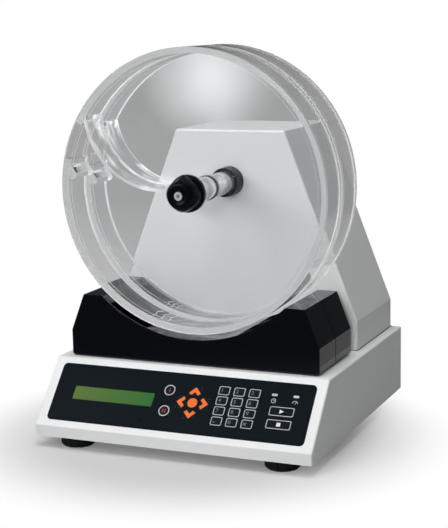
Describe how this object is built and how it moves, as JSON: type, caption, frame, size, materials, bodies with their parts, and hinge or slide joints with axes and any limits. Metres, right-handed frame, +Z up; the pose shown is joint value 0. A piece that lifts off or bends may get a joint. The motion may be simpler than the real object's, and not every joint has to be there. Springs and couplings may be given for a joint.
{
  "type": "friability tester",
  "caption": "Bench friability tester: two clear drums with a curved baffle on one driven spindle, black saddle trays below, a keypad slope and a tower behind.",
  "frame": {"origin": "on the bench, under the middle of the machine's overall width and depth", "axes": "+Z up along the tallest extent, +X to the right seen from the front, front (keypad and knob) towards -Y, spindle along Y"},
  "size_m": [0.313, 0.3194, 0.419],
  "materials": {
    "powder_coat": "fine textured powder coat",
    "plated_steel": "zinc plated",
    "foot_rubber": "moulded rubber with ribs",
    "screw_steel": "bright",
    "overlay_film": "printed polyester film, satin",
    "key_film": "printed polyester film, satin",
    "key_orange": "printed polyester film, satin",
    "display": "green backlit liquid crystal under a clear window",
    "lamp_lens": "clear lens, unlit",
    "circuit_board": "solder mask",
    "machined_aluminium": "machined",
    "bearing_steel": "ground",
    "black_plastic": "moulded",
    "hub_steel": "turned stainless steel",
    "black_anodised": "black anodised",
    "knob_plastic": "polished black",
    "tray_plastic": "polished black",
    "clear_acrylic": "clear cast acrylic, polished edges"
  },
  "bodies": {
    "housing": {"base_housing": "powder_coat", "bottom_plate": "plated_steel", "feet": "foot_rubber", "foot_screws": "screw_steel", "case_screws": "screw_steel", "keypad_overlay": "overlay_film", "lcd_module": "display", "indicator_lamps": "lamp_lens", "control_board": "circuit_board", "power_supply": "plated_steel", "tower_cover": "powder_coat", "bearing_frame": "machined_aluminium", "spindle_bearings": "bearing_steel", "worm_gearbox": "machined_aluminium", "drive_motor": "plated_steel", "revolution_sensor": "black_plastic", "mains_inlet": "black_plastic", "switch_body": "black_plastic", "serial_port": "plated_steel"},
    "spindle": {"spindle_shaft": "hub_steel", "drive_flange": "black_anodised", "drive_key": "screw_steel", "encoder_disc": "plated_steel"},
    "rear_drum": {"rear_drum_wall": "clear_acrylic", "rear_drum_back": "clear_acrylic", "rear_drum_baffle": "clear_acrylic", "rear_drum_hub": "hub_steel"},
    "rear_cover": {"rear_drum_cover": "clear_acrylic"},
    "front_drum": {"front_drum_wall": "clear_acrylic", "front_drum_back": "clear_acrylic", "front_drum_baffle": "clear_acrylic", "front_drum_hub": "hub_steel", "drum_spacer": "black_plastic"},
    "front_cover": {"front_drum_cover": "clear_acrylic"},
    "knob_stem": {"knob_screw": "screw_steel"},
    "knob": {"knob_grip": "knob_plastic"},
    "rear_tray": {"rear_tray": "tray_plastic"},
    "front_tray": {"front_tray": "tray_plastic"},
    "mains_rocker": {"mains_rocker": "black_plastic"},
    "key_1": {"key_1": "key_film"},
    "key_2": {"key_2": "key_film"},
    "key_3": {"key_3": "key_film"},
    "key_4": {"key_4": "key_film"},
    "key_5": {"key_5": "key_film"},
    "key_6": {"key_6": "key_film"},
    "key_7": {"key_7": "key_film"},
    "key_8": {"key_8": "key_film"},
    "key_9": {"key_9": "key_film"},
    "key_point": {"key_point": "key_film"},
    "key_0": {"key_0": "key_film"},
    "key_clear": {"key_clear": "key_film"},
    "key_f1": {"key_f1": "key_film"},
    "key_f2": {"key_f2": "key_film"},
    "key_up": {"key_up": "key_film"},
    "key_down": {"key_down": "key_film"},
    "key_left": {"key_left": "key_film"},
    "key_right": {"key_right": "key_film"},
    "key_ok": {"key_ok": "key_orange"},
    "key_start": {"key_start": "key_film"},
    "key_stop": {"key_stop": "key_film"}
  },
  "joints": [
    {"name": "spindle_spin", "type": "hinge", "parent": "housing", "child": "spindle", "pos_m": [0, 0, 0.269], "axis": [0, -1, 0], "continuous": true},
    {"name": "rear_drum_off", "type": "slide", "parent": "spindle", "child": "rear_drum", "axis": [0, -1, 0], "range_m": [0, 0.115]},
    {"name": "rear_cover_off", "type": "slide", "parent": "rear_drum", "child": "rear_cover", "axis": [0, -1, 0], "range_m": [0, 0.06]},
    {"name": "front_drum_off", "type": "slide", "parent": "rear_cover", "child": "front_drum", "axis": [0, -1, 0], "range_m": [0, 0.065]},
    {"name": "front_cover_off", "type": "slide", "parent": "front_drum", "child": "front_cover", "axis": [0, -1, 0], "range_m": [0, 0.06]},
    {"name": "knob_off", "type": "slide", "parent": "front_cover", "child": "knob_stem", "axis": [0, -1, 0], "range_m": [0, 0.045]},
    {"name": "knob_turn", "type": "hinge", "parent": "knob_stem", "child": "knob", "pos_m": [0, -0.11, 0.269], "axis": [0, -1, 0], "range_deg": [0, 90]},
    {"name": "rear_tray_out", "type": "slide", "parent": "housing", "child": "rear_tray", "axis": [0, -1, 0], "range_m": [0, 0.12]},
    {"name": "front_tray_out", "type": "slide", "parent": "rear_tray", "child": "front_tray", "axis": [0, -1, 0], "range_m": [0, 0.12]},
    {"name": "mains_switch", "type": "hinge", "parent": "housing", "child": "mains_rocker", "pos_m": [-0.052, 0.15225, 0.046], "axis": [1, 0, 0], "range_deg": [0, 16]},
    {"name": "press_1", "type": "slide", "parent": "housing", "child": "key_1", "axis": [0, 0.7469, -0.6649], "range_m": [0, 0.0004], "stiffness_N_per_m": 2500},
    {"name": "press_2", "type": "slide", "parent": "housing", "child": "key_2", "axis": [0, 0.7469, -0.6649], "range_m": [0, 0.0004], "stiffness_N_per_m": 2500},
    {"name": "press_3", "type": "slide", "parent": "housing", "child": "key_3", "axis": [0, 0.7469, -0.6649], "range_m": [0, 0.0004], "stiffness_N_per_m": 2500},
    {"name": "press_4", "type": "slide", "parent": "housing", "child": "key_4", "axis": [0, 0.7469, -0.6649], "range_m": [0, 0.0004], "stiffness_N_per_m": 2500},
    {"name": "press_5", "type": "slide", "parent": "housing", "child": "key_5", "axis": [0, 0.7469, -0.6649], "range_m": [0, 0.0004], "stiffness_N_per_m": 2500},
    {"name": "press_6", "type": "slide", "parent": "housing", "child": "key_6", "axis": [0, 0.7469, -0.6649], "range_m": [0, 0.0004], "stiffness_N_per_m": 2500},
    {"name": "press_7", "type": "slide", "parent": "housing", "child": "key_7", "axis": [0, 0.7469, -0.6649], "range_m": [0, 0.0004], "stiffness_N_per_m": 2500},
    {"name": "press_8", "type": "slide", "parent": "housing", "child": "key_8", "axis": [0, 0.7469, -0.6649], "range_m": [0, 0.0004], "stiffness_N_per_m": 2500},
    {"name": "press_9", "type": "slide", "parent": "housing", "child": "key_9", "axis": [0, 0.7469, -0.6649], "range_m": [0, 0.0004], "stiffness_N_per_m": 2500},
    {"name": "press_point", "type": "slide", "parent": "housing", "child": "key_point", "axis": [0, 0.7469, -0.6649], "range_m": [0, 0.0004], "stiffness_N_per_m": 2500},
    {"name": "press_0", "type": "slide", "parent": "housing", "child": "key_0", "axis": [0, 0.7469, -0.6649], "range_m": [0, 0.0004], "stiffness_N_per_m": 2500},
    {"name": "press_clear", "type": "slide", "parent": "housing", "child": "key_clear", "axis": [0, 0.7469, -0.6649], "range_m": [0, 0.0004], "stiffness_N_per_m": 2500},
    {"name": "press_f1", "type": "slide", "parent": "housing", "child": "key_f1", "axis": [0, 0.7469, -0.6649], "range_m": [0, 0.0004], "stiffness_N_per_m": 2500},
    {"name": "press_f2", "type": "slide", "parent": "housing", "child": "key_f2", "axis": [0, 0.7469, -0.6649], "range_m": [0, 0.0004], "stiffness_N_per_m": 2500},
    {"name": "press_up", "type": "slide", "parent": "housing", "child": "key_up", "axis": [0, 0.7469, -0.6649], "range_m": [0, 0.0004], "stiffness_N_per_m": 2500},
    {"name": "press_down", "type": "slide", "parent": "housing", "child": "key_down", "axis": [0, 0.7469, -0.6649], "range_m": [0, 0.0004], "stiffness_N_per_m": 2500},
    {"name": "press_left", "type": "slide", "parent": "housing", "child": "key_left", "axis": [0, 0.7469, -0.6649], "range_m": [0, 0.0004], "stiffness_N_per_m": 2500},
    {"name": "press_right", "type": "slide", "parent": "housing", "child": "key_right", "axis": [0, 0.7469, -0.6649], "range_m": [0, 0.0004], "stiffness_N_per_m": 2500},
    {"name": "press_ok", "type": "slide", "parent": "housing", "child": "key_ok", "axis": [0, 0.7469, -0.6649], "range_m": [0, 0.0004], "stiffness_N_per_m": 2500},
    {"name": "press_start", "type": "slide", "parent": "housing", "child": "key_start", "axis": [0, 0.7469, -0.6649], "range_m": [0, 0.0004], "stiffness_N_per_m": 2500},
    {"name": "press_stop", "type": "slide", "parent": "housing", "child": "key_stop", "axis": [0, 0.7469, -0.6649], "range_m": [0, 0.0004], "stiffness_N_per_m": 2500}
  ]
}
